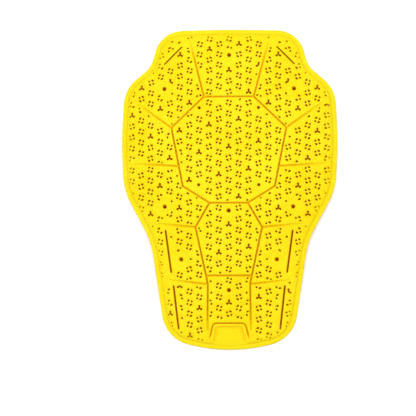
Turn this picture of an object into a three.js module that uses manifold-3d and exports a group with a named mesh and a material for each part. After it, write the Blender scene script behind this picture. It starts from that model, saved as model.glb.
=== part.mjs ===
// Back protector pad for a sports or riding jacket: one moulding of soft foam rubber, worn in the
// jacket's back pocket. It lies here as on a table, with its plates up and its hollow side down.
// +X is across the back, +Y runs along the spine to the neck, +Z points out of the wearer's back.
// The origin is on the table, under the middle of the pad.

import * as THREE from "three";
import { mergeVertices } from "three/addons/utils/BufferGeometryUtils.js";
import Module from "manifold-3d";

const wasm = await Module();
wasm.setup();

// Driving dimensions, in millimetres
const LENGTH = 375; // neck edge to lumbar edge, seen from above
const WIDTH = 253; // across the shoulder blades, seen from above
const SPINE_RADIUS = 1100; // bow of the hollow side along the spine
const SPINE_APEX = 13; // the bow's highest point, this far from the middle towards the neck
const BACK_RADIUS = 500; // bow of the hollow side across the back

const RIM_WIDTH = 5; // flat band round the plates
const RIM_THICKNESS = 3.5;
const RIM_CHAMFER = 1; // broken outer corner of the rim
const STEP_HEIGHT = 1.4; // the plates start this much above the rim
const STEP_WIDTH = 1; // slant of that step
const PLATE_THICKNESS = 13; // over the spine
const LUMBAR_THICKNESS = 9; // of the plates towards the lumbar edge
const TAPER = 52; // the plates thicken over this distance from the rim
const SPINE_LENGTH = 232; // the plates' crest line, seen from above

const GROOVE_WIDTH = 2.4; // at the plates' surface
const GROOVE_FLOOR = 1; // width of a groove's floor
const GROOVE_DEPTH = 3.4; // where the plates are thickest
const GROOVE_FADE = 0.5; // a groove runs out where it would be shallower than this
const GROOVE_STATION = 18; // longest stretch of a groove that is cut straight

const COLUMN_PITCH = 11.55; // vent columns, measured along the bowed surface
const ROW_PITCH = 12.95; // vents in a column, measured along the bowed surface
const TREFOIL_REACH = 2.45; // centre of a trefoil vent to the centre of each of its lobes
const TREFOIL_LOBE = 1.15; // radius of a lobe
const TREFOIL_ARM = 1.5; // width of the slit from the centre to a lobe
const TREFOIL_CYCLE = 7; // every seventh vent of a column is a trefoil
const TREFOIL_LEAN = 2.5; // rows that the cycle moves up from one column to the next
const VENT_TO_GROOVE = 3.55; // a lobe's centre stays this far from the middle of a groove
const VENT_TO_RIM = 2.25; // measured from the inner edge of the rim
const LOBE_TO_SLOT = 3.5; // measured from the middle of a slot
const TREFOIL_TO_SLOT = 4.4;

const ROUND_VENT_RADIUS = 2.35;
const PLAIN_DISC_RADIUS = 10.2; // round a vent, kept free of trefoils
const SLOT_WIDTH = 2;

const TAB_TOP_WIDTH = 30; // floor of the shallow trapezoid panel at the lumbar edge
const TAB_BOTTOM_WIDTH = 39;
const TAB_LENGTH = 21.5;
const TAB_DROP = 0.9; // the floor's top edge lies this far under the plates
const TAB_WALL = 0.8; // how far the wall slants outwards there
const TAB_CORNER_RADIUS = 5; // of the groove that frames the panel

const OVERSHOOT = 3; // cutters stand this far out of what they cut
const ARC_SAG = 0.45; // the outline's chords stay this close to its arcs
const LONGEST_CHORD = 22;
const ROUND_SIDES = 12; // straight sides of a round vent
const LOBE_SIDES = 4; // and of the arc of a lobe or a slot's end
const SAME_POINT = 1e-6;

const HALF_WIDTH = WIDTH / 2;
const HALF_LENGTH = LENGTH / 2;

// Right half of the outline: corners from the lumbar edge to the neck, each rounded by an arc.
// Columns: across and radius are shares of half the width, along is a share of half the length.
const OUTLINE_CORNERS = [
  { name: "lumbar edge", across: 0, along: -1.03, radius: 1.52 },
  { name: "lumbar corner", across: 0.59, along: -0.94, radius: 0.32 },
  { name: "waist", across: 0.724, along: -0.331, radius: 0.82 },
  { name: "hip", across: 0.982, along: -0.008, radius: 0.62 },
  { name: "side", across: 1.006, along: 0.316, radius: 3.18 },
  { name: "shoulder", across: 0.979, along: 0.629, radius: 0.3 },
  { name: "neck hollow", across: 0.728, along: 0.771, radius: 0.22 },
  { name: "neck corner", across: 0.643, along: 0.996, radius: 0.26 },
  { name: "neck edge", across: 0, along: 1, radius: 5.5 },
];

// Points where the grooves of the right half meet, turn or run out.
// Columns: across is a share of half the width, along a share of half the length.
const GROOVE_NODES = {
  neckEnd: { across: 0.366, along: 0.925 },
  neck: { across: 0.23, along: 0.5655 },
  blade: { across: 0.53, along: 0.372 },
  bladeEnd: { across: 0.88, along: 0.5435 },
  side: { across: 0.459, along: 0.1305 },
  sideEnd: { across: 0.935, along: 0.1555 },
  hip: { across: 0.423, along: 0.006 },
  loin: { across: 0.176, along: -0.098 },
  flank: { across: 0.306, along: -0.248 },
  flankEnd: { across: 0.79, along: -0.2165 },
  belt: { across: 0.21, along: -0.5465 },
  seat: { across: 0.194, along: -0.6 },
  seatEnd: { across: 0.6, along: -0.57 },
  tabSide: { across: 0.201, along: -0.885 },
  frameEnd: { across: 0.198, along: -0.973 },
  frameCorner: { across: 0.146, along: -0.841 },
};
const GROOVE_RUNS = [
  ["neckEnd", "neck", "blade", "side", "hip", "loin", "flank", "belt", "seat", "tabSide"],
  ["blade", "bladeEnd"],
  ["side", "sideEnd"],
  ["flank", "flankEnd"],
  ["seat", "seatEnd"],
];
const GROOVE_CROSSBARS = ["neck", "loin", "belt"]; // from a point to its mirror image

// Flex slots of the right half, cut through. Columns as above, for the two ends.
const SLOTS = [
  { name: "neck slot", fromAcross: 0.441, fromAlong: 0.888, toAcross: 0.604, toAlong: 0.779 },
  { name: "flank slot", fromAcross: 0.586, fromAlong: -0.267, toAcross: 0.534, toAlong: -0.525 },
  { name: "lumbar slot", fromAcross: 0.513, fromAlong: -0.61, toAcross: 0.469, toAlong: -0.876 },
];

// Round vents of the right half and of the middle. Columns: across and along as above, size is a
// share of the vent radius, plain a share of the disc radius.
const ROUND_VENTS = [
  { name: "neck", across: 0, along: 0.831, size: 1, plain: 0.8 },
  { name: "shoulder", across: 0.6, along: 0.62, size: 1, plain: 1 },
  { name: "upper panel", across: 0.273, along: 0.496, size: 0.72, plain: 0.7 },
  { name: "lower panel", across: 0.276, along: 0.014, size: 0.72, plain: 0.7 },
  { name: "hip", across: 0.591, along: -0.119, size: 1, plain: 1 },
  { name: "loin", across: 0, along: -0.146, size: 1, plain: 0.8 },
  { name: "flank", across: 0.44, along: -0.446, size: 1, plain: 1 },
  { name: "lumbar", across: 0, along: -0.637, size: 1, plain: 0.8 },
];

// The vent lattice: its middle trefoil and its reach. Some plates of the right half mirror the vents
// of their twins on the left; each is bounded by grooves and by a point outside the pad.
const LATTICE_ALONG = 0.251;
const LAST_COLUMN = 11;
const LAST_ROW = 20;
const MIRRORED_PLATES = [
  { grooves: ["neckEnd", "neck", "blade", "bladeEnd"], outside: { across: 1.1, along: 1 } },
  {
    grooves: ["flankEnd", "flank", "loin", "hip", "side", "sideEnd"],
    outside: { across: 1.3, along: 0 },
  },
  {
    grooves: ["seatEnd", "seat", "belt", "flank", "flankEnd"],
    outside: { across: 1.1, along: -0.4 },
  },
];

const place = ({ across, along }) => new THREE.Vector2(across * HALF_WIDTH, along * HALF_LENGTH);
const mirrored = (point) => new THREE.Vector2(-point.x, point.y);
const polar = (angle, radius) => new THREE.Vector2(Math.cos(angle), Math.sin(angle)).multiplyScalar(radius);
const clamp01 = (value) => THREE.MathUtils.clamp(value, 0, 1);

// Straight stretches of a run, none longer than the given length
function splitRun(run, longest) {
  return run.flatMap((point, i) => {
    if (i + 1 === run.length) return [point];
    const pieces = Math.ceil(point.distanceTo(run[i + 1]) / longest);
    return Array.from({ length: pieces }, (_, k) => point.clone().lerp(run[i + 1], k / pieces));
  });
}

// Outline

function roundCorner(before, corner, after, radius) {
  const back = before.clone().sub(corner).normalize();
  const on = after.clone().sub(corner).normalize();
  const halfOpening = Math.acos(back.dot(on)) / 2;
  const reach = radius / Math.tan(halfOpening);
  const middle = back.clone().add(on).setLength(radius / Math.sin(halfOpening)).add(corner);
  const start = back.setLength(reach).add(corner).sub(middle).angle();
  const end = on.setLength(reach).add(corner).sub(middle).angle();
  const turn = Math.atan2(Math.sin(end - start), Math.cos(end - start));
  const chordTurn = Math.min(2 * Math.acos(1 - ARC_SAG / radius), LONGEST_CHORD / radius);
  const chords = 2 * Math.ceil(Math.abs(turn) / chordTurn / 2);
  return Array.from({ length: chords + 1 }, (_, i) =>
    polar(start + (turn * i) / chords, radius).add(middle),
  );
}

// The right half's points, from the spine at the lumbar edge to the spine at the neck edge
function makeHalfOutline() {
  const corners = OUTLINE_CORNERS.map(place);
  const last = corners.length - 1;
  const points = corners.flatMap((corner, i) => {
    const before = i > 0 ? corners[i - 1] : mirrored(corners[1]);
    const after = i < last ? corners[i + 1] : mirrored(corners[last - 1]);
    return roundCorner(before, corner, after, OUTLINE_CORNERS[i].radius * HALF_WIDTH);
  });
  return splitRun(points.filter((point) => point.x > -SAME_POINT), LONGEST_CHORD);
}

const halfOutline = makeHalfOutline();
const outline = [...halfOutline, ...halfOutline.slice(1, -1).reverse().map(mirrored)];

function distanceToRun(point, run) {
  let nearest = Infinity;
  for (let i = 0; i + 1 < run.length; i++) {
    const stretch = run[i + 1].clone().sub(run[i]);
    const offset = point.clone().sub(run[i]);
    const share = clamp01(offset.dot(stretch) / stretch.lengthSq());
    nearest = Math.min(nearest, offset.addScaledVector(stretch, -share).length());
  }
  return nearest;
}

const inset = (point) => distanceToRun(point, [...outline, outline[0]]);

// Surfaces, as heights over the table

const arcDrop = (distance, radius) => radius - Math.sqrt(radius ** 2 - distance ** 2);
const bowDrop = (point) =>
  arcDrop(point.y - SPINE_APEX, SPINE_RADIUS) + arcDrop(point.x, BACK_RADIUS);
const crownHeight = Math.max(...outline.map(bowDrop));
const underside = (point) => crownHeight - bowDrop(point);

// From 0 at the rim to 1 where the plates have their full thickness
function plateRise(point) {
  const share = clamp01((inset(point) - RIM_WIDTH) / TAPER);
  return Math.sin((share * Math.PI) / 2);
}

function plateTop(point) {
  const towardsLumbar = THREE.MathUtils.smoothstep(-point.y, 0, HALF_LENGTH);
  const full = THREE.MathUtils.lerp(PLATE_THICKNESS, LUMBAR_THICKNESS, towardsLumbar);
  const least = RIM_THICKNESS + STEP_HEIGHT;
  return underside(point) + least + (full - least) * plateRise(point);
}

// Solids

function toManifold(geometry) {
  const bare = geometry.clone();
  bare.deleteAttribute("normal");
  bare.deleteAttribute("uv");
  const merged = mergeVertices(bare);
  return new wasm.Manifold(
    new wasm.Mesh({
      numProp: 3,
      vertProperties: new Float32Array(merged.attributes.position.array),
      triVerts: new Uint32Array(merged.index.array),
    }),
  );
}

function toGeometry(solid) {
  const mesh = solid.getMesh();
  const geometry = new THREE.BufferGeometry();
  geometry.setAttribute("position", new THREE.BufferAttribute(mesh.vertProperties, 3));
  geometry.setIndex(new THREE.BufferAttribute(mesh.triVerts, 1));
  geometry.computeVertexNormals();
  return geometry;
}

// Skins a stack of rings of equal length; with caps, the first and last ring are closed too
function skin(rings, caps) {
  const count = rings[0].length;
  const index = [];
  for (let ring = 0; ring + 1 < rings.length; ring++) {
    for (let i = 0; i < count; i++) {
      const [low, lowNext] = [ring * count + i, ring * count + ((i + 1) % count)];
      index.push(low, lowNext, lowNext + count, low, lowNext + count, low + count);
    }
  }
  if (caps) {
    const last = (rings.length - 1) * count;
    for (let i = 1; i + 1 < count; i++) {
      index.push(0, i + 1, i, last, last + i, last + i + 1);
    }
  }
  const geometry = new THREE.BufferGeometry().setFromPoints(rings.flat());
  geometry.setIndex(index);
  return geometry;
}

// The moulding without its cuts: rings that follow the outline and close in on the spine, first
// under the pad, then up round the rim and over the plates
function makeBlank() {
  const UNDER_STEPS = [1, 0.75, 0.5, 0.25, 0];
  const PLATE_STEPS = [0.09, 0.2, 0.34, 0.56, 0.78, 1];

  const walked = [0];
  halfOutline.slice(1).forEach((point, i) => walked.push(walked[i] + point.distanceTo(halfOutline[i])));
  const spineAt = (i) => {
    const share = walked[Math.min(i, outline.length - i)] / walked.at(-1);
    return new THREE.Vector2(0, (share - 0.5) * SPINE_LENGTH);
  };
  const inwards = outline.map((_, i) => {
    const chord = outline[(i + 1) % outline.length].clone().sub(outline.at(i - 1)).normalize();
    return new THREE.Vector2(-chord.y, chord.x);
  });

  const offset = (distance) =>
    outline.map((point, i) => point.clone().addScaledVector(inwards[i], distance));
  const towardsSpine = (ring, share) => ring.map((point, i) => point.clone().lerp(spineAt(i), share));
  const raise = (ring, height) =>
    ring.map((point) => new THREE.Vector3(point.x, point.y, height(point)));
  const over = (thickness) => (point) => underside(point) + thickness;

  const plateEdge = offset(RIM_WIDTH + STEP_WIDTH);
  const rings = [
    ...UNDER_STEPS.map((share) => raise(towardsSpine(outline, share), underside)),
    raise(outline, over(RIM_THICKNESS - RIM_CHAMFER)),
    raise(offset(RIM_CHAMFER), over(RIM_THICKNESS)),
    raise(offset(RIM_WIDTH), over(RIM_THICKNESS)),
    raise(plateEdge, plateTop),
    ...PLATE_STEPS.map((share) => raise(towardsSpine(plateEdge, share), plateTop)),
  ];
  return toManifold(skin(rings, false));
}

// A straight cut on a plan shape, through the whole pad
function punch(shape, sides) {
  const depth = crownHeight + PLATE_THICKNESS + 2 * OVERSHOOT;
  const curveSegments = sides / 2;
  const prism = new THREE.ExtrudeGeometry(shape, { depth, bevelEnabled: false, curveSegments });
  return toManifold(prism.translate(0, 0, -OVERSHOOT));
}

// Grooves: slanted sides, and a floor that follows the plates and comes up towards the rim

function grooveCutter(run) {
  const stations = splitRun(run, GROOVE_STATION);
  const slant = (GROOVE_WIDTH - GROOVE_FLOOR) / 2 / GROOVE_DEPTH;
  const sections = stations.map((point, i) => {
    const before = stations[Math.max(i - 1, 0)];
    const after = stations[Math.min(i + 1, stations.length - 1)];
    const heading = after.clone().sub(before).normalize();
    const corner = (reach, height) =>
      new THREE.Vector3(
        point.x + heading.y * reach,
        point.y - heading.x * reach,
        plateTop(point) + height,
      );
    const depth = (GROOVE_DEPTH + GROOVE_FADE) * plateRise(point) - GROOVE_FADE;
    const floor = GROOVE_WIDTH / 2 - slant * depth;
    const lip = GROOVE_WIDTH / 2 + slant * OVERSHOOT;
    return [
      corner(-floor, -depth),
      corner(floor, -depth),
      corner(lip, OVERSHOOT),
      corner(-lip, OVERSHOOT),
    ];
  });
  return toManifold(skin(sections.reverse(), true));
}

// The groove that frames the panel, from one side of the lumbar edge to the other
function makeFrameRun() {
  const end = place(GROOVE_NODES.frameEnd);
  const corner = place(GROOVE_NODES.frameCorner);
  const half = [end, ...roundCorner(end, corner, mirrored(corner), TAB_CORNER_RADIUS)];
  return [...half, ...half.map(mirrored).reverse()];
}

const frameRun = makeFrameRun();
const grooveRuns = [
  ...GROOVE_RUNS.flatMap((names) => {
    const run = names.map((name) => place(GROOVE_NODES[name]));
    return [run, run.map(mirrored)];
  }),
  ...GROOVE_CROSSBARS.map((name) => {
    const end = place(GROOVE_NODES[name]);
    return [end, mirrored(end)];
  }),
  frameRun,
];

// Slots and round vents

const slotRuns = SLOTS.flatMap((row) => {
  const run = [
    place({ across: row.fromAcross, along: row.fromAlong }),
    place({ across: row.toAcross, along: row.toAlong }),
  ];
  return [run, run.map(mirrored)];
});

function slotCutter([from, to]) {
  const heading = to.clone().sub(from).angle();
  const shape = new THREE.Shape();
  const quarter = Math.PI / 2;
  shape.absarc(to.x, to.y, SLOT_WIDTH / 2, heading - quarter, heading + quarter, false);
  shape.absarc(from.x, from.y, SLOT_WIDTH / 2, heading + quarter, heading - quarter, false);
  return punch(shape, LOBE_SIDES);
}

const roundVents = ROUND_VENTS.flatMap((row) => {
  const vent = { ...row, at: place(row) };
  return row.across > 0 ? [vent, { ...vent, at: mirrored(vent.at) }] : [vent];
});

function ventCutter({ at, size }) {
  const shape = new THREE.Shape();
  shape.absarc(at.x, at.y, size * ROUND_VENT_RADIUS, 0, 2 * Math.PI, false);
  return punch(shape, ROUND_SIDES);
}

// Trapezoid panel at the lumbar edge: a shallow recess whose flat floor comes out level with the rim

const tabBottom = halfOutline[0].y + RIM_WIDTH;
const tabTop = tabBottom + TAB_LENGTH;
const tabHalfWidth = (y) => {
  const share = (y - tabBottom) / TAB_LENGTH;
  return THREE.MathUtils.lerp(TAB_BOTTOM_WIDTH, TAB_TOP_WIDTH, share) / 2;
};

function tabCutter() {
  const lowEnd = new THREE.Vector2(0, tabBottom);
  const highEnd = new THREE.Vector2(0, tabTop);
  const bottomHeight = underside(lowEnd) + RIM_THICKNESS;
  const slope = (plateTop(highEnd) - TAB_DROP - bottomHeight) / TAB_LENGTH;
  const floorAt = (y) => bottomHeight + slope * (y - tabBottom);
  const ring = (share) => {
    const reach = TAB_WALL * share;
    const corner = (side, y) =>
      new THREE.Vector3(
        side * (tabHalfWidth(y) + reach),
        y === tabTop ? y + reach : y,
        floorAt(y) + TAB_DROP * share,
      );
    return [corner(-1, tabBottom), corner(1, tabBottom), corner(1, tabTop), corner(-1, tabTop)];
  };
  return toManifold(skin([ring(0), ring(1 + OVERSHOOT / TAB_DROP)], true));
}

// Trefoil vents

// Site of the vent lattice, laid out along the bows; rows count towards the lumbar edge
function latticeSite(column, row) {
  const first = Math.asin((LATTICE_ALONG * HALF_LENGTH - SPINE_APEX) / SPINE_RADIUS);
  return new THREE.Vector2(
    BACK_RADIUS * Math.sin((column * COLUMN_PITCH) / BACK_RADIUS),
    SPINE_APEX + SPINE_RADIUS * Math.sin(first - (row * ROW_PITCH) / SPINE_RADIUS),
  );
}

function isInside(point, corners) {
  const crossings = corners.filter((corner, i) => {
    const next = corners[(i + 1) % corners.length];
    if (corner.y > point.y === next.y > point.y) return false;
    const share = (point.y - corner.y) / (next.y - corner.y);
    return THREE.MathUtils.lerp(corner.x, next.x, share) > point.x;
  });
  return crossings.length % 2 === 1;
}

function isTrefoil(column, row) {
  const site = latticeSite(column, row);
  const mirrors = MIRRORED_PLATES.some(({ grooves, outside }) =>
    isInside(site, [...grooves.map((name) => place(GROOVE_NODES[name])), place(outside)]),
  );
  return (row + TREFOIL_LEAN * (mirrors ? -column : column)) % TREFOIL_CYCLE === 0;
}

function isClear(point, toSlot) {
  const nearRuns = (runs, margin) => runs.some((run) => distanceToRun(point, run) < margin);
  return (
    isInside(point, outline) &&
    inset(point) > RIM_WIDTH + VENT_TO_RIM &&
    !nearRuns(grooveRuns, VENT_TO_GROOVE) &&
    !nearRuns(slotRuns, toSlot) &&
    !roundVents.some(({ at, plain }) => at.distanceTo(point) < plain * PLAIN_DISC_RADIUS) &&
    !isInside(point, frameRun)
  );
}

function lobeCutter(middle, lobe) {
  const heading = lobe.clone().sub(middle).angle();
  const side = polar(heading + Math.PI / 2, TREFOIL_ARM / 2);
  const join = Math.PI - Math.asin(TREFOIL_ARM / 2 / TREFOIL_LOBE);
  const shape = new THREE.Shape();
  shape.moveTo(middle.x - side.x, middle.y - side.y);
  shape.absarc(lobe.x, lobe.y, TREFOIL_LOBE, heading - join, heading + join, false);
  shape.lineTo(middle.x + side.x, middle.y + side.y);
  return punch(shape, LOBE_SIDES);
}

// Lobes that would meet a groove, a slot, a disc or the rim are left out, and so is a trefoil that
// would keep only one.
function trefoilCutters(column, row) {
  const middle = latticeSite(column, row);
  const lobes = [90, 210, 330]
    .map((degrees) => polar(THREE.MathUtils.degToRad(degrees), TREFOIL_REACH).add(middle))
    .filter((lobe) => isClear(lobe, LOBE_TO_SLOT) && isClear(middle, TREFOIL_TO_SLOT));
  return lobes.length > 1 ? lobes.map((lobe) => lobeCutter(middle, lobe)) : [];
}

function makeTrefoils() {
  const cutters = [];
  for (let column = -LAST_COLUMN; column <= LAST_COLUMN; column++) {
    const halfRow = column % 2 === 0 ? 0 : 0.5;
    for (let row = halfRow - LAST_ROW; row <= LAST_ROW; row++) {
      if (isTrefoil(column, row)) cutters.push(...trefoilCutters(column, row));
    }
  }
  return cutters;
}

function makePad() {
  const cutters = [
    ...grooveRuns.map(grooveCutter),
    ...slotRuns.map(slotCutter),
    ...roundVents.map(ventCutter),
    ...makeTrefoils(),
    tabCutter(),
  ];
  const cut = cutters.reduce((sum, cutter) => sum.add(cutter));
  const foam = new THREE.MeshStandardMaterial({ color: 0xfde81c, roughness: 0.6 });
  const pad = new THREE.Mesh(toGeometry(makeBlank().subtract(cut)), foam);
  pad.name = "protector_pad";
  return pad;
}

const protector = new THREE.Group();
protector.add(makePad());

export default protector;
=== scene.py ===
import math

import bpy
import numpy as np
from mathutils import Matrix, Vector
from mathutils.geometry import delaunay_2d_cdt
from mathutils.kdtree import KDTree


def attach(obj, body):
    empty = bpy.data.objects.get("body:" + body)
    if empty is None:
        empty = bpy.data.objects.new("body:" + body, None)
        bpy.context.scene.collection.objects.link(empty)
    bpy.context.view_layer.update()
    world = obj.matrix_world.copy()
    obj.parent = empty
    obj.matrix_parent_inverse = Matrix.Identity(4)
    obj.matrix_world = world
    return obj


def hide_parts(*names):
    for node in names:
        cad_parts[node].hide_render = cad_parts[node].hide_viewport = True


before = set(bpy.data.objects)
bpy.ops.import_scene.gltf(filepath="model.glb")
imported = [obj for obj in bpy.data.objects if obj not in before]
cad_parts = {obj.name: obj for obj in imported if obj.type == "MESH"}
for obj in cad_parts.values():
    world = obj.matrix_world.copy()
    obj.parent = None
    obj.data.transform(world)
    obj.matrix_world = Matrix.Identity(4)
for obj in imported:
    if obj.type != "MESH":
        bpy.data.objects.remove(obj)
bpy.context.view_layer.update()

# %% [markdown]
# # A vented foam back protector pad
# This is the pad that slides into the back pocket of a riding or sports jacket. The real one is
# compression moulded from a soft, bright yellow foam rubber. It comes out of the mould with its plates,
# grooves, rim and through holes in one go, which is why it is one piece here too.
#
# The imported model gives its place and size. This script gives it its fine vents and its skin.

MM = 0.001

# All measures are in millimetres, and most stand in the cell that first needs them
LENGTH, WIDTH = 375.0, 253.0
RIM_WIDTH, RIM_THICKNESS = 5.0, 3.5
HALF = np.array([WIDTH, LENGTH]) / 2


def place(share):
    """Shares of half the width and half the length, as millimetres."""
    return np.asarray(share, float) * HALF


def mirrored(points):
    """The same points on the other side of the spine."""
    return np.asarray(points) * (-1, 1)


def smooth(value, low, high):
    """A soft step, from 0 at the low end to 1 at the high one."""
    share = np.clip((value - low) / (high - low), 0, 1)
    return share * share * (3 - 2 * share)


# %% [markdown]
# ## The outline
# Seen from above the pad has a square neck, wide shoulders, a waist and a rounded lumbar end. The mould
# maker draws it as straight runs joined by arcs, so it is built the same way: nine corners for one half,
# each rounded to its own radius, then mirrored. Points every few millimetres keep the rim's curve smooth.

# %% Outline
OUTLINE = [  # across, along, radius as a share of half the width
    (0, -1.03, 1.52),
    (0.59, -0.94, 0.32),
    (0.724, -0.331, 0.82),
    (0.982, -0.008, 0.62),
    (1.006, 0.316, 3.18),
    (0.979, 0.629, 0.3),
    (0.728, 0.771, 0.22),
    (0.643, 0.996, 0.26),
    (0, 1, 5.5),
]
OUTLINE_SPACING, ARC_FINENESS = 2.4, 3


def round_corner(before, corner, after, radius, spacing):
    """Points of the arc that rounds a corner."""
    back = (before - corner) / np.linalg.norm(before - corner)
    on = (after - corner) / np.linalg.norm(after - corner)
    half = math.acos(back @ on) / 2
    middle = corner + (back + on) / np.linalg.norm(back + on) * radius / math.sin(half)
    first = corner + back * radius / math.tan(half) - middle
    last = corner + on * radius / math.tan(half) - middle
    start = math.atan2(first[1], first[0])
    turn = math.atan2(first[0] * last[1] - first[1] * last[0], first @ last)
    count = max(2, math.ceil(abs(turn) * radius / spacing))
    angles = start + turn * np.arange(count + 1) / count
    return middle + radius * np.c_[np.cos(angles), np.sin(angles)]


def resample(points, spacing, closed=False):
    """Points at an even spacing along a line."""
    points = np.asarray(points, float)
    if closed:
        points = np.vstack([points, points[:1]])
    run = np.r_[0, np.cumsum(np.linalg.norm(np.diff(points, axis=0), axis=1))]
    count = max(1, round(run[-1] / spacing))
    walk = np.linspace(0, run[-1], count + 1)[: count if closed else count + 1]
    return np.c_[np.interp(walk, run, points[:, 0]), np.interp(walk, run, points[:, 1])]


def right_of(line, closed=True):
    """Unit steps to the right of a line, one at each of its points."""
    ahead = np.roll(line, -1, 0) - np.roll(line, 1, 0)
    if not closed:
        ahead[0], ahead[-1] = line[1] - line[0], line[-1] - line[-2]
    return np.c_[ahead[:, 1], -ahead[:, 0]] / np.linalg.norm(ahead, axis=1)[:, None]


def make_outline(spacing):
    """One closed line round the pad, from the corners of its right half."""
    right = [(place(row[:2]), row[2] * HALF[0]) for row in OUTLINE]
    ring = right + [(mirrored(at), radius) for at, radius in right[-2:0:-1]]
    arcs = []
    for i, (at, radius) in enumerate(ring):
        after = ring[(i + 1) % len(ring)][0]
        arcs.append(round_corner(ring[i - 1][0], at, after, radius, spacing / ARC_FINENESS))
    return resample(np.vstack(arcs), spacing, closed=True)


outline = make_outline(OUTLINE_SPACING)
inward = -right_of(outline)
print("outline:", len(outline), "points,", np.ptp(outline, axis=0).round(1), "mm")

# %% [markdown]
# ## Grooves, slots and vents
# The grooves let the stiff plates hinge against each other, and the slots let the waist flex. Air goes
# through 13 round vents and a skewed lattice of small ones: 47 trefoils, and about 1250 pins in clusters
# of four between them. Every seventh site of a column is a trefoil, and the cycle moves up two and a half
# rows from one column to the next, so the trefoils never line up. Three plates of the right side have the
# pattern mirrored. Pins that would break into a groove, a slot or the rim are left out, as the mould
# maker does.

# %% Grooves, slots and round vents
NODES = {
    "neck_end": (0.366, 0.925), "neck": (0.23, 0.5655), "blade": (0.53, 0.372),
    "blade_end": (0.88, 0.5435), "side": (0.459, 0.1305), "side_end": (0.935, 0.1555),
    "hip": (0.423, 0.006), "loin": (0.176, -0.098), "flank": (0.306, -0.248),
    "flank_end": (0.79, -0.2165), "belt": (0.21, -0.5465), "seat": (0.194, -0.6),
    "seat_end": (0.6, -0.57), "panel_side": (0.201, -0.885),
    "frame_end": (0.198, -0.973), "frame_corner": (0.146, -0.841),
}
GROOVES = [  # nodes, share of the full depth
    ("blade side hip", 1),
    ("loin flank belt seat panel_side", 1),
    ("neck_end neck blade", 0.86),
    ("hip loin", 0.86),
    ("blade blade_end", 0.72),
    ("side side_end", 0.72),
    ("flank flank_end", 0.72),
    ("seat seat_end", 0.72),
]
CROSSBARS, CROSSBAR_DEPTH = ["neck", "loin", "belt"], 0.86
FRAME_CORNER_RADIUS, CORNER_SPACING = 5.0, 0.8
VENT_RADIUS, SLOT_WIDTH = 2.35, 2.0
SLOTS = [  # both ends, share of the slot width
    ((0.441, 0.888), (0.604, 0.779), 0.72),
    ((0.586, -0.267), (0.534, -0.525), 1),
    ((0.513, -0.61), (0.469, -0.876), 1),
]
VENTS = [  # across, along, share of the vent radius, clear radius in mm, has a shallow disc
    (0, 0.831, 1, 8.2, False),
    (0.6, 0.62, 1, 10.2, True),
    (0.273, 0.496, 0.72, 7.2, False),
    (0.276, 0.014, 0.72, 7.2, False),
    (0.591, -0.119, 1, 10.2, True),
    (0, -0.146, 1, 8.2, False),
    (0.44, -0.446, 1, 10.2, True),
    (0, -0.637, 1, 8.2, False),
]


def run_of(names):
    """The points of a line, from the names of its nodes."""
    return np.array([place(NODES[name]) for name in names.split()])


grooves = [(run_of(names), depth) for names, depth in GROOVES]
grooves += [(mirrored(run), depth) for run, depth in grooves]
for name in CROSSBARS:
    grooves.append((np.array([place(NODES[name]), mirrored(place(NODES[name]))]), CROSSBAR_DEPTH))
end, corner = run_of("frame_end frame_corner")
arc = round_corner(end, corner, mirrored(corner), FRAME_CORNER_RADIUS, CORNER_SPACING)
half_frame = np.vstack([end, arc])
panel_frame = np.vstack([half_frame, mirrored(half_frame)[::-1]])
slots = []
for start, end, share in SLOTS:
    run = place((start, end))
    slots += [(run, share), (mirrored(run), share)]
vents = []
for across, along, size, clear, disc in VENTS:
    at = place((across, along))
    for centre in [at, mirrored(at)] if across else [at]:
        vents.append((centre, size * VENT_RADIUS, clear, disc))
print(len(grooves), "grooves,", len(slots), "slots,", len(vents), "round vents")

# %% Distances in the plan
BATCH = 2000


def segments(runs, closed=False):
    """Start and end points of every stretch of the runs."""
    starts = [run if closed else run[:-1] for run in runs]
    ends = [np.roll(run, -1, 0) if closed else run[1:] for run in runs]
    return np.vstack(starts), np.vstack(ends)


def distance(points, stretches):
    """From each point to the nearest stretch, in batches that spare memory."""
    points = np.atleast_2d(points)
    start, end = stretches
    along = end - start
    length = (along**2).sum(1)
    nearest = np.full(len(points), np.inf)
    for low in range(0, len(points), BATCH):
        offset = points[low : low + BATCH, None] - start
        share = np.clip((offset * along).sum(2) / length, 0, 1)
        gap = offset - share[..., None] * along
        nearest[low : low + BATCH] = np.sqrt((gap**2).sum(2)).min(1)
    return nearest


def inside(points, ring):
    """Whether each point lies within a closed ring."""
    points = np.atleast_2d(points)
    start, end = ring, np.roll(ring, -1, 0)
    x, y = points[:, :1], points[:, 1:]
    crosses = (start[:, 1] > y) != (end[:, 1] > y)
    rise = np.where(end[:, 1] == start[:, 1], 1, end[:, 1] - start[:, 1])
    at = start[:, 0] + (y - start[:, 1]) / rise * (end[:, 0] - start[:, 0])
    return (crosses & (at > x)).sum(1) % 2 == 1


outline_parts = segments([outline], closed=True)
groove_parts = segments([run for run, _ in grooves])
groove_kinds = [  # share of the full depth, the grooves that have it
    (kind, segments([run for run, depth in grooves if depth == kind]))
    for kind in sorted({depth for _, depth in grooves})
]
frame_parts = segments([panel_frame])
slot_parts = segments([run for run, _ in slots])


def inset(points):
    """How far in from the outline each point lies."""
    return distance(points, outline_parts) * np.where(inside(points, outline), 1, -1)


print("the middle lies", inset(np.zeros((1, 2))).round(1), "mm in from the outline")

# %% [markdown]
# ## The surfaces
# The pad lies with its hollow side down, bowed along the spine and across the back, so it rests on its
# shoulders and lumbar corners. The plates rise from the flat rim over a small step and are thickest over
# the spine. Each groove has rounded lips and a narrow floor in the middle of the pad, and gets shallower
# and wider towards the rim, as a moulded line does where the foam thins out. The crossbars, the neck's
# grooves and the side branches are cut a little less deep than the long grooves beside the spine.

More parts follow.
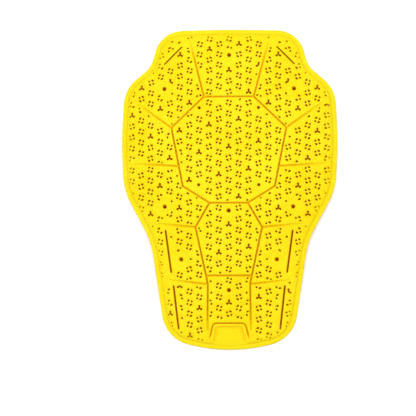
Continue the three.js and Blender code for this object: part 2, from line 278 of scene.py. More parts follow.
# %% Bow and plates
SPINE_RADIUS, SPINE_APEX, BACK_RADIUS = 1100.0, 13.0, 500.0
PLATE_THICKNESS, LUMBAR_THICKNESS, TAPER = 13.0, 9.0, 52.0
STEP_HEIGHT, STEP_START, STEP_END = 1.4, RIM_WIDTH - 0.5, RIM_WIDTH + 2.4


def bow(points):
    """How far the pad has dropped below its crown."""
    along = SPINE_RADIUS - np.sqrt(SPINE_RADIUS**2 - (points[:, 1] - SPINE_APEX) ** 2)
    across = BACK_RADIUS - np.sqrt(BACK_RADIUS**2 - points[:, 0] ** 2)
    return along + across


crown = bow(outline).max()


def underside(points):
    """Height of the underside over the floor."""
    return crown - bow(points)


def plate_rise(depth_in):
    """From 0 at the rim to 1 where the plates have their full thickness."""
    return np.sin(np.clip((depth_in - RIM_WIDTH) / TAPER, 0, 1) * math.pi / 2)


def plate_top(points, depth_in):
    """Height of the rim and the plates before anything is cut."""
    towards_lumbar = smooth(-points[:, 1], 0, LENGTH / 2)
    full = PLATE_THICKNESS + (LUMBAR_THICKNESS - PLATE_THICKNESS) * towards_lumbar
    step = STEP_HEIGHT * smooth(depth_in, STEP_START, STEP_END)
    least = RIM_THICKNESS + STEP_HEIGHT
    return underside(points) + RIM_THICKNESS + step + (full - least) * plate_rise(depth_in)


print("hollow under the crown:", round(float(crown), 1), "mm")

# %% Grooves, the panel's frame, discs and the rim's crease
GROOVE_WIDTH, GROOVE_FLOOR, GROOVE_DEPTH, GROOVE_FADE = 2.4, 1.0, 3.4, 0.5
FLOOR_ROUNDING, LIP_SPREAD = 0.2, 0.6
FRAME_HALF_WIDTH, FRAME_HALF_FLOOR, FRAME_DEPTH = 1.1, 0.2, 2.8
FRAME_FADES, FRAME_FULL = RIM_WIDTH + 3, RIM_WIDTH + 13
DISC_DEPTH, DISC_HALF_EDGE = 0.4, 0.5
CREASE_WIDTH, CREASE_DEPTH = 1.8, 0.14


def groove_shape(points, depth_in):
    """How deep the grooves cut, from 0 on the plates."""
    rise = plate_rise(depth_in)
    depth = np.clip((GROOVE_DEPTH + GROOVE_FADE) * rise - GROOVE_FADE, 0, None)
    floor = GROOVE_FLOOR / 2 - FLOOR_ROUNDING
    lip = GROOVE_WIDTH / 2 + LIP_SPREAD * (1 - rise)
    cuts = [
        share * (1 - smooth(distance(points, parts), floor, lip + LIP_SPREAD * (1 - share)))
        for share, parts in groove_kinds
    ]
    return depth * np.max(cuts, axis=0)


def frame_shape(points, depth_in):
    """The same for the narrow groove that frames the lumbar panel."""
    depth = FRAME_DEPTH * smooth(depth_in, FRAME_FADES, FRAME_FULL)
    return depth * (1 - smooth(distance(points, frame_parts), FRAME_HALF_FLOOR, FRAME_HALF_WIDTH))


def disc_shape(points):
    """How deep the shallow discs lie round some of the round vents."""
    drop = np.zeros(len(points))
    for centre, _, clear, disc in vents:
        if disc:
            gap = np.linalg.norm(points - centre, axis=1)
            edge = smooth(gap, clear - DISC_HALF_EDGE, clear + DISC_HALF_EDGE)
            drop = np.maximum(drop, DISC_DEPTH * (1 - edge))
    return drop


def crease_shape(depth_in):
    """A faint crease where the plates meet the rim, from 0 to 1."""
    return np.exp(-(((depth_in - RIM_WIDTH) / CREASE_WIDTH) ** 2))


print("grooves up to", GROOVE_DEPTH, "mm deep, the panel's frame up to", FRAME_DEPTH)

# %% The lumbar panel, and the whole upper side
PANEL_TOP_WIDTH, PANEL_BOTTOM_WIDTH, PANEL_LENGTH, PANEL_DROP = 30.0, 39.0, 21.5, 0.9
PANEL_CORNER_RADIUS, PANEL_OVERRUN, PANEL_REACH = 2.2, 1, 0.5
WALL_SLOPE, WALL_START = 1.1, 0.1
EDGE_WIDTH, EDGE_FULL = 1.1, RIM_WIDTH + 8
ROUNDING = 0.4

panel_bottom = outline[:, 1].min() + RIM_WIDTH
panel_top = panel_bottom + PANEL_LENGTH
low_corner = np.array([PANEL_BOTTOM_WIDTH / 2, panel_bottom - PANEL_OVERRUN])
high_corner = np.array([PANEL_TOP_WIDTH / 2, panel_top])
arc = round_corner(low_corner, high_corner, mirrored(high_corner), PANEL_CORNER_RADIUS, CORNER_SPACING)
half_floor = np.vstack([low_corner, arc])
panel_floor = np.vstack([half_floor, mirrored(half_floor)[::-1]])
panel_edge = segments([panel_floor])
panel_ring = segments([panel_floor], closed=True)


def panel_edge_painted_shade(points, depth_in):
    """Painted shade round the edge of the panel's floor, from 0 to 1."""
    crease = np.exp(-((distance(points, panel_edge) / EDGE_WIDTH) ** 2))
    return crease * smooth(depth_in, RIM_WIDTH, EDGE_FULL)


def panel_height(points):
    """Height of the panel's flat floor and of the slanted wall round it."""
    ends = np.array([(0, panel_bottom), (0, panel_top)])
    low = underside(ends)[0] + RIM_THICKNESS
    high = plate_top(ends, inset(ends))[1] - PANEL_DROP
    floor = low + (high - low) * (points[:, 1] - panel_bottom) / PANEL_LENGTH
    outside = np.where(inside(points, panel_floor), 0, distance(points, panel_ring))
    return floor + WALL_SLOPE * np.maximum(outside - WALL_START, 0)


def lower_of(first, second):
    """The lower of two heights, with the corner between them rounded."""
    share = np.clip((1 + (second - first) / ROUNDING) / 2, 0, 1)
    return second + (first - second) * share - ROUNDING * share * (1 - share)


def surface(points):
    """Height of the upper side, with every groove, disc and panel."""
    depth_in = inset(points)
    plate = plate_top(points, depth_in) - CREASE_DEPTH * crease_shape(depth_in)
    plate -= groove_shape(points, depth_in) + frame_shape(points, depth_in) + disc_shape(points)
    panel = np.where(points[:, 1] < panel_bottom - PANEL_REACH, plate, panel_height(points))
    return lower_of(plate, panel)


print("upper side over the middle:", surface(np.zeros((1, 2))).round(1), "mm")

# %% [markdown]
# ## The vent pattern
# A pin cluster is four pins on a ring: two round ones and two that are stretched along the ring. One kind
# is the mirror image of the other, and the lattice alternates them: two of one, four of the other, then a
# trefoil. A trefoil loses the lobes that come too close to a groove, a slot or the rim. Where its middle
# is too close as well, or only one lobe is left, the rest are drilled as pins. Near the rim and the
# grooves the pins get a little smaller.

# %% Shapes of the openings
TREFOIL_REACH, LOBE_RADIUS, ARM_HALF_WIDTH, LEAST_ARM = 2.45, 1.3, 0.8, 0.1
LOBE_POINTS, END_POINTS = 8, 7


def direction(degrees):
    """A unit step in the plan, counted anticlockwise from +X."""
    return np.array([math.cos(math.radians(degrees)), math.sin(math.radians(degrees))])


def ellipse(centre, along, half_length, half_width, sides):
    """A closed line round a pin, stretched along one direction."""
    turn = 2 * math.pi * (np.arange(sides) + 0.5) / sides
    side = np.array([-along[1], along[0]])
    return centre + np.outer(half_length * np.cos(turn), along) + np.outer(half_width * np.sin(turn), side)


def stadium(start, end, radius, spacing):
    """A slot's line: two straight sides and two round ends."""
    heading = math.atan2(*(end - start)[::-1])
    loop = []
    for centre, first in ((end, heading - math.pi / 2), (start, heading + math.pi / 2)):
        angles = first + math.pi * np.arange(END_POINTS) / (END_POINTS - 1)
        loop.append(centre + radius * np.c_[np.cos(angles), np.sin(angles)])
    return resample(np.vstack(loop), spacing, closed=True)


def trefoil(centre, lobes, grow):
    """One line round the lobes that are kept and the arms that join them."""
    lobe, arm = LOBE_RADIUS + grow, max(ARM_HALF_WIDTH + grow, LEAST_ARM)
    join = math.degrees(math.asin(arm / lobe))
    loop = []
    for k, angle in enumerate(lobes):
        tip = centre + TREFOIL_REACH * direction(angle)
        for turn in np.linspace(join - 180, 180 - join, LOBE_POINTS):
            loop.append(tip + lobe * direction(angle + turn))
        gap = (lobes[(k + 1) % len(lobes)] - angle) % 360
        loop.append(centre + arm / math.sin(math.radians(gap / 2)) * direction(angle + gap / 2))
    return np.array(loop)


whole_trefoil = trefoil(np.zeros(2), (90, 210, 330), 0)
print("a whole trefoil measures", np.ptp(whole_trefoil, axis=0).round(1), "mm")

# %% Sites of the lattice
COLUMN_PITCH, ROW_PITCH = 11.55, 12.95
LAST_COLUMN, LAST_STEP = 11, 40
CYCLE, CYCLE_SHIFT = 7, 2.5
FIRST_ROW = 0.251  # where row 0 lies along the spine, as a share of half the length
LATTICE_START = math.asin((FIRST_ROW * HALF[1] - SPINE_APEX) / SPINE_RADIUS)
MIRRORED_PLATES = [  # nodes, and a point beyond the outline that closes the ring
    ("neck_end neck blade blade_end", (1.1, 1)),
    ("flank_end flank loin hip side side_end", (1.3, 0)),
    ("seat_end seat belt flank flank_end", (1.1, -0.4)),
]
mirrored_plates = [np.vstack([run_of(names), place(out)]) for names, out in MIRRORED_PLATES]


def lattice_site(column, row):
    """The lattice is even on the bowed pad, so it closes up a little towards the sides and ends."""
    x = BACK_RADIUS * math.sin(column * COLUMN_PITCH / BACK_RADIUS)
    turn = LATTICE_START - row * ROW_PITCH / SPINE_RADIUS
    return np.array([x, SPINE_APEX + SPINE_RADIUS * math.sin(turn)])


sites = []
for column in range(-LAST_COLUMN, LAST_COLUMN + 1):
    for step in range(-LAST_STEP, LAST_STEP + 1):
        if (step + column) % 2 == 0:
            row = step / 2
            site = lattice_site(column, row)
            if inside(site, outline)[0]:
                flip = any(inside(site, plate)[0] for plate in mirrored_plates)
                phase = (row + CYCLE_SHIFT * (-column if flip else column)) % CYCLE
                sites.append((site, phase, flip))
print(len(sites), "sites")

# %% Pins and trefoils
LOBE_ANGLES, PIN_ANGLES = (90, 210, 330), (30, 120, 210, 300)
HANDED_PHASES = (1, 2)
CLUSTER_RING, ROUND_PIN, LONG_PIN, PIN_HALF_WIDTH = 2.9, 1.2, 1.7, 1.1
LONE_REACH, LONE_HALF_LENGTH, LONE_HALF_WIDTH = 2.1, 1.3, 1.05
# Least distances of lobe tips and trefoil middles from grooves, from slots and from the rim
LOBE_CLEAR, MIDDLE_CLEAR = (3.55, 3.5, 2.25), (3.55, 4.4, 2.25)
PIN_TO_GROOVE, PIN_TO_SLOT, PIN_TO_RIM, PIN_TO_NECK_RIM = 3.0, 5.0, 1.8, 2.9
FRAME_EXTRA, NECK_LINE = 1.5, 165


def is_clear(points, to_groove, to_slot, to_rim):
    """Whether an opening may lie at each point."""
    clear = inset(points) > RIM_WIDTH + to_rim
    clear &= distance(points, groove_parts) > to_groove
    clear &= distance(points, frame_parts) > to_groove + FRAME_EXTRA
    clear &= distance(points, slot_parts) > to_slot
    for centre, _, keep, _ in vents:
        clear &= np.linalg.norm(points - centre, axis=1) > keep
    return clear & ~inside(points, panel_frame)


def free_lobes(site):
    """The angles of the trefoil's lobes that lie clear."""
    tips = np.array([site + TREFOIL_REACH * direction(angle) for angle in LOBE_ANGLES])
    return [angle for angle, free in zip(LOBE_ANGLES, is_clear(tips, *LOBE_CLEAR)) if free]


def lone_lobe(site, angle):
    """A trefoil's lobe as a pin, in the form that a cluster's pins have."""
    return site + LONE_REACH * direction(angle), direction(angle), LONE_HALF_LENGTH, LONE_HALF_WIDTH


def cluster(site, handed):
    """Four pins on a ring, as centre, direction, half length and half width."""
    ring = []
    for k, angle in enumerate(PIN_ANGLES):
        angle = 180 - angle if handed else angle
        half_length = LONG_PIN if k % 2 else ROUND_PIN
        centre = site + CLUSTER_RING * direction(angle)
        ring.append((centre, direction(angle + 90), half_length, PIN_HALF_WIDTH))
    return ring


pins, trefoils = [], []
for site, phase, flip in sites:
    if phase:
        pins += cluster(site, (phase in HANDED_PHASES) != flip)
        continue
    lobes = free_lobes(site)
    if len(lobes) > 1 and is_clear(site[None], *MIDDLE_CLEAR)[0]:
        trefoils.append((site, lobes))
    else:
        pins += [lone_lobe(site, angle) for angle in lobes]

pin_centres = np.array([pin[0] for pin in pins])
to_rim = np.where(pin_centres[:, 1] > NECK_LINE, PIN_TO_NECK_RIM, PIN_TO_RIM)
pin_clear = is_clear(pin_centres, PIN_TO_GROOVE, PIN_TO_SLOT, to_rim)
pins = [pin for pin, free in zip(pins, pin_clear) if free]
print(len(trefoils), "trefoils,", len(pins), "pins")

# %% Three loops for every opening: in the upper side, round its mouth and in the underside
PIN_SIDES, PIN_TIP, MOUTH = 10, 0.22, 0.22
TREFOIL_TAPER = 1.1
VENT_SIDES, VENT_LIP, VENT_TIP = 28, 0.5, 0.3
SLOT_SPACING, SLOT_LIP, SLOT_TIP = 1.6, 0.4, 0.08
SHRINK_AT_RIM, SHRINK_AT_GROOVE = (0.82, 8, 14), (0.8, 3, 4.2)


def shrunk(gap, least, low, high):
    """The share of its size that a pin keeps: the least one up to the low gap, all from the high one."""
    return least + (1 - least) * smooth(gap, low, high)


openings = []
pin_centres = pin_centres[pin_clear]
pin_sizes = shrunk(inset(pin_centres), *SHRINK_AT_RIM)
pin_sizes *= shrunk(distance(pin_centres, groove_parts), *SHRINK_AT_GROOVE)
for (centre, along, half_length, half_width), size in zip(pins, pin_sizes):
    openings.append([
        ellipse(centre, along, half_length * size * share + grow, half_width * size * share + grow, PIN_SIDES)
        for share, grow in ((1, 0), (1, MOUTH), (PIN_TIP, 0))
    ])
for centre, lobes in trefoils:
    openings.append([trefoil(centre, lobes, grow) for grow in (0, MOUTH, -TREFOIL_TAPER)])
for centre, radius, _, _ in vents:
    radii = (radius, radius + VENT_LIP, radius * VENT_TIP)
    openings.append([ellipse(centre, direction(0), size, size, VENT_SIDES) for size in radii])
for (start, end), share in slots:
    radius = share * SLOT_WIDTH / 2
    inner = stadium(start, end, radius, SLOT_SPACING)
    out = right_of(inner)
    openings.append([inner, inner + out * SLOT_LIP, inner - out * (radius - SLOT_TIP)])
hole_loops, mouth_loops, low_loops = ([loops[k] for loops in openings] for k in range(3))
print(len(openings), "openings")

# %% [markdown]
# ## The skin
# The upper side is a net of triangles over the plan, fine where the shape turns quickly and coarse on the
# open plates. Every opening is a true hole: its loop is a fixed line in the net of the upper side and in
# that of the underside, and a wall joins the two. Lines of points run beside the grooves, the rim and the
# panel, so that their rounded edges come out clean.

# %% Tools for the net's points
HOLE_REACH, ROW_SHARE = 4.5, 0.866
hole_centres = np.array([loop.mean(0) for loop in mouth_loops])
hole_reach = np.array([np.linalg.norm(loop - loop.mean(0), axis=1).max() for loop in mouth_loops])


def tree_of(points):
    """A search tree that finds the points near a place."""
    tree = KDTree(len(points))
    for i, point in enumerate(points):
        tree.insert((*point, 0), i)
    tree.balance()
    return tree


def beside(run, offsets, spacing, closed=False):
    """Rows of points along a run, at several distances from it."""
    line = resample(run, spacing, closed)
    side = right_of(line, closed)
    return np.vstack([line + side * offset for offset in offsets])


def both_sides(offsets):
    return [0, *(sign * offset for offset in offsets for sign in (1, -1))]


def thin_out(points, others, gap):
    """Leaves out the points that are nearer than the gap to any other."""
    tree = tree_of(others)
    return np.array([point for point in points if tree.find((*point, 0))[2] > gap])


def without_doubles(points, gap):
    """Leaves out the later of two points that are nearer than the gap."""
    tree = tree_of(points)
    gone = np.zeros(len(points), bool)
    for i, point in enumerate(points):
        if not gone[i]:
            for _, k, _ in tree.find_range((*point, 0), gap):
                gone[k] |= k > i
    return points[~gone]


def grid(spacing):
    """Rows of points, each shifted by half a space, for even triangles."""
    points = []
    for k, y in enumerate(np.arange(-HALF[1], HALF[1], spacing * ROW_SHARE)):
        for x in np.arange(-HALF[0], HALF[0], spacing):
            points.append((x + spacing / 2 * (k % 2), y))
    return np.array(points)


def outside_holes(points, margin):
    """Keeps points that are clear of every opening's mouth."""
    tree = tree_of(hole_centres)
    kept = []
    for point in points:
        near = tree.find_range((*point, 0), HOLE_REACH + margin)
        if all(gap > hole_reach[i] + margin for _, i, gap in near if hole_reach[i] < HOLE_REACH):
            kept.append(point)
    kept = np.array(kept)
    return kept[distance(kept, slot_parts) > SLOT_WIDTH / 2 + SLOT_LIP + margin]


print("widest vent's reach, mm:", hole_reach[hole_reach < HOLE_REACH].max().round(2))

# %% Points of the net
GROOVE_OFFSETS, GROOVE_SPACING = both_sides((0.35, 0.75, 1.15, 1.6, 2.3)), 2.2
FRAME_OFFSETS, FRAME_SPACING = both_sides((0.3, 0.6, 0.95, 1.4)), 1.2
PANEL_OFFSETS, PANEL_SPACING = (-0.7, -0.2, 0.2, 0.6, 1.0, 1.5), 1.4
PANEL_ROWS_START = panel_bottom + 1.2
RIM_DEPTHS = (3, 4.2, 4.6, 4.95, 5.3, 5.7, 6.1, 6.6, 7.6)
DISC_OFFSETS, DISC_SIDES = (-0.55, 0, 0.55), 48
ROWS_INSET, ROWS_GAP, ROWS_MARGIN = 8, 0.26, 0.22
GRID_SPACING, GRID_INSET, GRID_GAP, GRID_MARGIN = 4.4, 9, 1.5, 0.9
UNDER_SPACING, UNDER_INSET = 7, 3

groove_rows = np.vstack([beside(run, GROOVE_OFFSETS, GROOVE_SPACING) for run, _ in grooves])
groove_rows = without_doubles(groove_rows, ROWS_GAP)
rim_rows = np.vstack([outline + inward * depth for depth in RIM_DEPTHS])
panel_rows = beside(panel_floor, PANEL_OFFSETS, PANEL_SPACING, closed=True)
panel_rows = np.vstack([panel_rows, beside(panel_frame, FRAME_OFFSETS, FRAME_SPACING)])
panel_rows = panel_rows[panel_rows[:, 1] > PANEL_ROWS_START]
disc_rows = np.vstack([
    ellipse(centre, direction(0), clear + step, clear + step, DISC_SIDES)
    for centre, _, clear, disc in vents if disc for step in DISC_OFFSETS
])
fine = np.vstack([groove_rows, panel_rows, disc_rows])
fine = fine[inset(fine) > ROWS_INSET]
fine = outside_holes(without_doubles(np.vstack([rim_rows, fine]), ROWS_GAP), ROWS_MARGIN)
mouth_points = np.vstack(mouth_loops)
coarse = grid(GRID_SPACING)
coarse = outside_holes(coarse[inset(coarse) > GRID_INSET], GRID_MARGIN)
coarse = thin_out(coarse, np.vstack([fine, mouth_points]), GRID_GAP)
under_grid = grid(UNDER_SPACING)
under_grid = outside_holes(under_grid[inset(under_grid) > UNDER_INSET], GRID_MARGIN)
print(len(fine), "fine points,", len(coarse), "coarse points,", len(under_grid), "under points")

# %% Triangles
# Steps of the rim's rounded edge: inward from the outline, up from the underside
RIM_PROFILE = [(0.9, 0.0), (0.25, 0.25), (0.0, 0.9), (0.0, 2.4), (0.4, 3.2), (1.3, RIM_THICKNESS)]
WELD_GAP = 1e-6


def triangulate(rings, free):
    """Triangles between the first ring and the others, which are left open. Gives indices into the
    rings' points followed by the free ones."""
    points = np.vstack([*rings, free])
    owner = np.full(len(points), -1)
    edges, low = [], 0
    for k, ring in enumerate(rings):
        count = len(ring)
        edges += [(low + i, low + (i + 1) % count) for i in range(count)]
        owner[low : low + count] = k
        low += count
    net = delaunay_2d_cdt([Vector(p) for p in points], edges, [], 0, WELD_GAP, True)
    first = np.array([min(source) if source else -1 for source in net[3]])
    faces = first[np.array(net[2])]
    same = (owner[faces] == owner[faces[:, :1]]).all(1) & (owner[faces[:, 0]] >= 0)
    drop = np.zeros(len(faces), bool)
    for f in np.flatnonzero(same):
        k = owner[faces[f, 0]]
        within = inside(points[faces[f]].mean(0), rings[k])[0]
        drop[f] = within if k else not within
    return points, faces[~drop]


top_rings = [outline + inward * RIM_PROFILE[-1][0], *hole_loops]
low_rings = [outline + inward * RIM_PROFILE[0][0], *low_loops]
top_points, top_faces = triangulate(top_rings, np.vstack([mouth_points, fine, coarse]))
low_points, low_faces = triangulate(low_rings, under_grid)
print(len(top_faces), "triangles above,", len(low_faces), "below")

# %% Heights
MOUTH_DROP = 0.3
ring_size = len(outline)
hole_total = sum(len(loop) for loop in hole_loops)
low_start = len(top_points)
rim_start = low_start + len(low_points)

top_z = surface(top_points)
top_z[ring_size : ring_size + hole_total] -= MOUTH_DROP
low_z = underside(low_points)
rim_steps = [
    np.c_[outline + inward * depth, underside(outline) + height] for depth, height in RIM_PROFILE[1:-1]
]
positions = np.vstack([np.c_[top_points, top_z], np.c_[low_points, low_z], *rim_steps])
print("heights from", low_z.min().round(1), "to", top_z.max().round(1), "mm")

# %% Faces: both sides, the walls of the openings and the rim
faces = [tuple(face) for face in top_faces]
faces += [tuple(low_start + face[::-1]) for face in low_faces]
at = ring_size
for loop in hole_loops:
    ring = at + np.arange(len(loop))
    faces += [(low_start + b, low_start + a, a, b) for a, b in zip(ring, np.roll(ring, -1))]
    at += len(loop)
rings = [low_start + np.arange(ring_size)]
rings += [rim_start + k * ring_size + np.arange(ring_size) for k in range(len(rim_steps))]
rings.append(np.arange(ring_size))
for below, above in zip(rings, rings[1:]):
    faces += list(zip(below, np.roll(below, -1), np.roll(above, -1), above))
print(sum(len(face) - 2 for face in faces), "triangles in all")

# %% Mesh
SHARP_ANGLE = math.radians(62)
mesh = bpy.data.meshes.new("pad_skin")
mesh.from_pydata((positions * MM).tolist(), [], [tuple(map(int, face)) for face in faces])
mesh.validate()
mesh.shade_smooth()
mesh.set_sharp_from_angle(angle=SHARP_ANGLE)
pad = bpy.data.objects.new("pad_skin", mesh)
bpy.context.scene.collection.objects.link(pad)
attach(pad, "root")
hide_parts("protector_pad")
print(pad.name, "has", len(mesh.vertices), "vertices")

# %% [markdown]
# ## Marks for the material's painted shade and light
# A material can read numbers that are stored on the mesh. Here each point says how deep in a vent or a
# groove it lies, how thin the foam is round its vent, and how close it is to the rim's crease or the
# panel's floor. The material paints shade with these marks, and a glow of painted light in the vents.
# The marks come from the same functions as the shape, so painted shade and shape can't drift apart.

# %% Marks that the material reads for its painted shade and light
# The foam counts as thin near the rim. The painted shade on the vents' walls is full at the underside, a
# little less at the mouth, and eased where the foam is thin
THIN_UP_TO, THICK_FROM = 6, 14
MOUTH_MARK, LOW_MARK, THIN_EASE = 0.9, 1.0, 0.7
# Weights of the painted shade along the panel's frame and round the panel's floor
FRAME_MARK, PANEL_EDGE_MARK = 1.25, 0.42

vent_shade_mark, thin_mark, groove_shade_mark, crease_shade_mark = np.zeros((4, len(positions)))
thin = 1 - smooth(inset(np.vstack(hole_loops)), THIN_UP_TO, THICK_FROM)
# Painted shade on the vents' walls, and where the vents' painted light grows
for start, deep in ((ring_size, MOUTH_MARK), (low_start + ring_size, LOW_MARK)):
    vent_shade_mark[start : start + hole_total] = deep * (1 - THIN_EASE * thin)
    thin_mark[start : start + hole_total] = thin
depth_in = inset(top_points)
# Painted shade in the grooves, along the panel's frame, round the panel's floor and at the rim's crease
groove_shade_mark[:low_start] = groove_shape(top_points, depth_in) / GROOVE_DEPTH
groove_shade_mark[:low_start] += FRAME_MARK * frame_shape(top_points, depth_in) / FRAME_DEPTH
groove_shade_mark[:low_start] += PANEL_EDGE_MARK * panel_edge_painted_shade(top_points, depth_in)
crease_shade_mark[:low_start] = crease_shape(depth_in)
marks = {"vent": vent_shade_mark, "thin": thin_mark, "groove": groove_shade_mark, "crease": crease_shade_mark}
for name, values in marks.items():
    mark = mesh.attributes.new(name, "FLOAT", "POINT")
    mark.data.foreach_set("value", values.astype(np.float32))
print("marks:", ", ".join(marks))

# %% [markdown]
# ## The foam
# Moulded foam rubber has a thin, matte skin with a fine grain where it met the mould. It is strongly
# coloured, so light that bounces inside a groove or a vent turns orange and then brown. The bounces are
# traced, and the marks add painted shade there: orange in the grooves, the creases and round the panel,
# brown in the vents. A weak painted glow in the vents stands for the light that the foam itself lets
# through, and it is paler where the foam is thin. Soft, broad changes of shade come from the foam's own
# uneven density.

# %% Shared effects
GRAIN_SCALE, PORE_SCALE, MOTTLE_SCALE = 900.0, 520.0, 26.0
PORE_CAP, PORE_ROUNDING, PORE_WEIGHT = 0.35, 0.2, 0.6
# Share of the grooves' painted shade that the rim's crease gets
CREASE_WEIGHT = 0.14


def group(name, outputs):
    """An empty node group that puts out numbers with the given names."""
    tree = bpy.data.node_groups.new(name, "ShaderNodeTree")
    for label in outputs:
        tree.interface.new_socket(label, in_out="OUTPUT", socket_type="NodeSocketFloat")
    return tree, tree.nodes.new("NodeGroupOutput")


def node(tree, kind, **settings):
    """A node with its settings, and its input values, given by name."""
    made = tree.nodes.new(kind)
    for key, value in settings.items():
        if hasattr(made, key):
            setattr(made, key, value)
        else:
            made.inputs[key.replace("_", " ")].default_value = value
    return made


def foam_grain():
    """Fine mould grain and soft unevenness, as a height and a mottle from 0 to 1."""
    tree, out = group("foam_grain", ["Height", "Mottle"])
    place_at = node(tree, "ShaderNodeTexCoord")
    grain = node(tree, "ShaderNodeTexNoise", Scale=GRAIN_SCALE, Detail=3.0, Roughness=0.6)
    pores = node(tree, "ShaderNodeTexVoronoi", Scale=PORE_SCALE, Randomness=1.0)
    broad = node(tree, "ShaderNodeTexNoise", Scale=MOTTLE_SCALE, Detail=3.0, Roughness=0.55)
    pore_depth = node(tree, "ShaderNodeMath", operation="SMOOTH_MIN")
    pore_depth.inputs[1].default_value = PORE_CAP
    pore_depth.inputs[2].default_value = PORE_ROUNDING
    both = node(tree, "ShaderNodeMath", operation="MULTIPLY_ADD")
    both.inputs[1].default_value = PORE_WEIGHT
    for texture in (grain, pores, broad):
        tree.links.new(place_at.outputs["Object"], texture.inputs["Vector"])
    tree.links.new(pores.outputs["Distance"], pore_depth.inputs[0])
    tree.links.new(pore_depth.outputs[0], both.inputs[0])
    tree.links.new(grain.outputs["Fac"], both.inputs[2])
    tree.links.new(both.outputs[0], out.inputs["Height"])
    tree.links.new(broad.outputs["Fac"], out.inputs["Mottle"])
    return tree


def painted_light_marks():
    """The mesh's marks for the painted shade and the painted light in the vents, with the rim's crease joined
    to the grooves.
    """
    tree, out = group("painted_light_marks", ["Vent", "Thin", "Groove"])
    vent = node(tree, "ShaderNodeAttribute", attribute_name="vent")
    thin_foam = node(tree, "ShaderNodeAttribute", attribute_name="thin")
    groove = node(tree, "ShaderNodeAttribute", attribute_name="groove")
    crease = node(tree, "ShaderNodeAttribute", attribute_name="crease")
    less = node(tree, "ShaderNodeMath", operation="MULTIPLY")
    less.inputs[1].default_value = CREASE_WEIGHT
    most = node(tree, "ShaderNodeMath", operation="MAXIMUM")
    tree.links.new(crease.outputs["Fac"], less.inputs[0])
    tree.links.new(less.outputs[0], most.inputs[0])
    tree.links.new(groove.outputs["Fac"], most.inputs[1])
    tree.links.new(vent.outputs["Fac"], out.inputs["Vent"])
    tree.links.new(thin_foam.outputs["Fac"], out.inputs["Thin"])
    tree.links.new(most.outputs[0], out.inputs["Groove"])
    return tree


grain_group, painted_light_group = foam_grain(), painted_light_marks()
print("shader groups:", grain_group.name, "and", painted_light_group.name)

# %% Foam material
PLAIN = (0.75, 0.62, 0.006, 1)
DENSE = (0.75, 0.575, 0.0, 1)
# Painted shade: the darker orange of the grooves, the creases and the panel's edges
GROOVE_PAINTED_SHADE = (0.7, 0.3, 0.0, 1)
# Painted shade: the brown of the vents' walls
VENT_PAINTED_SHADE = (0.42, 0.15, 0.0, 1)
# Painted light: the vents glow though no lamp is there, paler and stronger where the foam is thin
NO_PAINTED_GLOW = (0.0, 0.0, 0.0, 1)
VENT_PAINTED_GLOW = (0.1, 0.024, 0.0, 1)
THIN_PAINTED_GLOW = (0.13, 0.05, 0.0, 1)


def mix(tree, low, high, factor):
    """A colour mix. The Mix node's colour sockets are numbers 6 and 7 in and 2 out."""
    made = node(tree, "ShaderNodeMix", data_type="RGBA")
    for socket, value in ((made.inputs[6], low), (made.inputs[7], high)):
        if isinstance(value, tuple):
            socket.default_value = value
        else:
            tree.links.new(value, socket)
    tree.links.new(factor, made.inputs[0])
    return made.outputs[2]


material = bpy.data.materials.new("yellow_foam")
material.use_nodes = True
tree = material.node_tree
shader = tree.nodes["Principled BSDF"]
grain = node(tree, "ShaderNodeGroup", node_tree=grain_group)
depth = node(tree, "ShaderNodeGroup", node_tree=painted_light_group)
mottle = node(tree, "ShaderNodeMapRange", From_Min=0.3, From_Max=0.7)
tree.links.new(grain.outputs["Mottle"], mottle.inputs["Value"])
colour = mix(tree, PLAIN, DENSE, mottle.outputs["Result"])
# Painted shade in the grooves and the creases
colour = mix(tree, colour, GROOVE_PAINTED_SHADE, depth.outputs["Groove"])
# Painted shade in the vents
colour = mix(tree, colour, VENT_PAINTED_SHADE, depth.outputs["Vent"])
tree.links.new(colour, shader.inputs["Base Color"])
# Painted light in the vents, paler where the foam is thin
glow = mix(tree, NO_PAINTED_GLOW, VENT_PAINTED_GLOW, depth.outputs["Vent"])
glow = mix(tree, glow, THIN_PAINTED_GLOW, depth.outputs["Thin"])
tree.links.new(glow, shader.inputs["Emission Color"])
shader.inputs["Emission Strength"].default_value = 1.0
rough = node(tree, "ShaderNodeMapRange", From_Min=0.2, From_Max=0.9, To_Min=0.5, To_Max=0.66)
tree.links.new(grain.outputs["Height"], rough.inputs["Value"])
tree.links.new(rough.outputs["Result"], shader.inputs["Roughness"])
bump = node(tree, "ShaderNodeBump", Strength=0.3, Distance=0.0004)
tree.links.new(grain.outputs["Height"], bump.inputs["Height"])
tree.links.new(bump.outputs["Normal"], shader.inputs["Normal"])
shader.inputs["Specular IOR Level"].default_value = 0.1
shader.inputs["Subsurface Weight"].default_value = 0.3
shader.inputs["Subsurface Radius"].default_value = (1.0, 0.4, 0.05)
shader.inputs["Subsurface Scale"].default_value = 0.004
mesh.materials.append(material)
print(material.name, "has", len(tree.nodes), "nodes")

# %% [markdown]
# ## Floor, light and camera
# The pad lies on a white sheet under one long soft box that hangs a little beyond its neck end, with
# white fill from all above, as for a catalogue picture. The fill fades out towards the horizon, where the
# camera sees plain white. The camera stands 2.4 m off with a long lens and looks almost straight down,
# four degrees from the lumbar side and two from the right.

# %% Floor and light
SHEET_SIDE, WHITE, FILL = 6, (0.96, 0.96, 0.96, 1), 1.7
bpy.ops.mesh.primitive_plane_add(size=SHEET_SIDE, location=(0, 0, 0))
floor = bpy.context.object
floor.name = "floor"
paper = bpy.data.materials.new("white_paper")
paper.use_nodes = True
paper_shader = paper.node_tree.nodes["Principled BSDF"]
paper_shader.inputs["Base Color"].default_value = WHITE
paper_shader.inputs["Roughness"].default_value = 0.9
paper_shader.inputs["Specular IOR Level"].default_value = 0.1
floor.data.materials.append(paper)

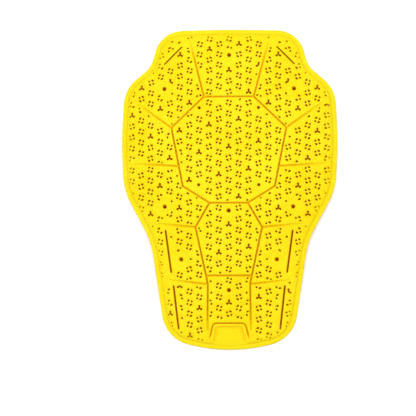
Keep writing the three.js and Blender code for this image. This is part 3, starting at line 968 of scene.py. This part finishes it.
scene = bpy.context.scene
scene.view_settings.view_transform = "Standard"
scene.view_settings.look = "None"
world = bpy.data.worlds.new("studio")
scene.world = world
world.use_nodes = True
sky = world.node_tree
above = node(sky, "ShaderNodeSeparateXYZ")
fall = node(sky, "ShaderNodeMapRange", From_Min=0.25, From_Max=1.0, To_Min=0.0, To_Max=FILL)
sky.links.new(node(sky, "ShaderNodeTexCoord").outputs["Generated"], above.inputs[0])
sky.links.new(above.outputs["Z"], fall.inputs["Value"])
strength = node(sky, "ShaderNodeMath", operation="MAXIMUM")
sky.links.new(fall.outputs["Result"], strength.inputs[0])
sky.links.new(node(sky, "ShaderNodeLightPath").outputs["Is Camera Ray"], strength.inputs[1])
sky.links.new(strength.outputs["Value"], sky.nodes["Background"].inputs["Strength"])
sky.nodes["Background"].inputs["Color"].default_value = (1, 1, 1, 1)


def soft_box(name, location, size, power):
    """A rectangular lamp that points at the middle of the floor."""
    data = bpy.data.lights.new(name, "AREA")
    data.shape = "RECTANGLE"
    data.size, data.size_y = size
    data.energy = power
    lamp = bpy.data.objects.new(name, data)
    scene.collection.objects.link(lamp)
    lamp.location = location
    lamp.rotation_euler = (-Vector(location)).to_track_quat("-Z", "Y").to_euler()
    return lamp


key = soft_box("key", (-0.08, 0.36, 1.7), (3.0, 1.0), 24.3)
print(key.name, "light of", round(key.data.energy, 1), "W over the", floor.name)

# %% Camera
camera_data = bpy.data.cameras.new("camera")
camera = bpy.data.objects.new("camera", camera_data)
scene.collection.objects.link(camera)
scene.camera = camera
DISTANCE, FRAME_SIDE = 2.4, 0.486
TILT, LEAN, ROLL = math.radians(4.3), math.radians(2.2), math.radians(-0.15)
SENSOR, FRAME_PIXELS, SHIFT_ACROSS, SHIFT_UP = 36, 416, -21.4, -17.9
target = Vector((0.0002, -0.0024, 0.015))
back = Vector((math.sin(LEAN), -math.sin(TILT), math.cos(TILT))).normalized()
camera.location = target + DISTANCE * back
across = Vector((math.cos(ROLL), math.sin(ROLL), 0))
right = (across - across.dot(back) * back).normalized()
camera.rotation_euler = Matrix((right, back.cross(right), back)).transposed().to_euler()
camera_data.sensor_width = SENSOR
camera_data.lens = SENSOR * DISTANCE / FRAME_SIDE
camera_data.shift_x = SHIFT_ACROSS / FRAME_PIXELS
camera_data.shift_y = SHIFT_UP / FRAME_PIXELS
camera_data.clip_start, camera_data.clip_end = 0.05, 20
print("camera", DISTANCE, "m off, lens", round(camera_data.lens), "mm")
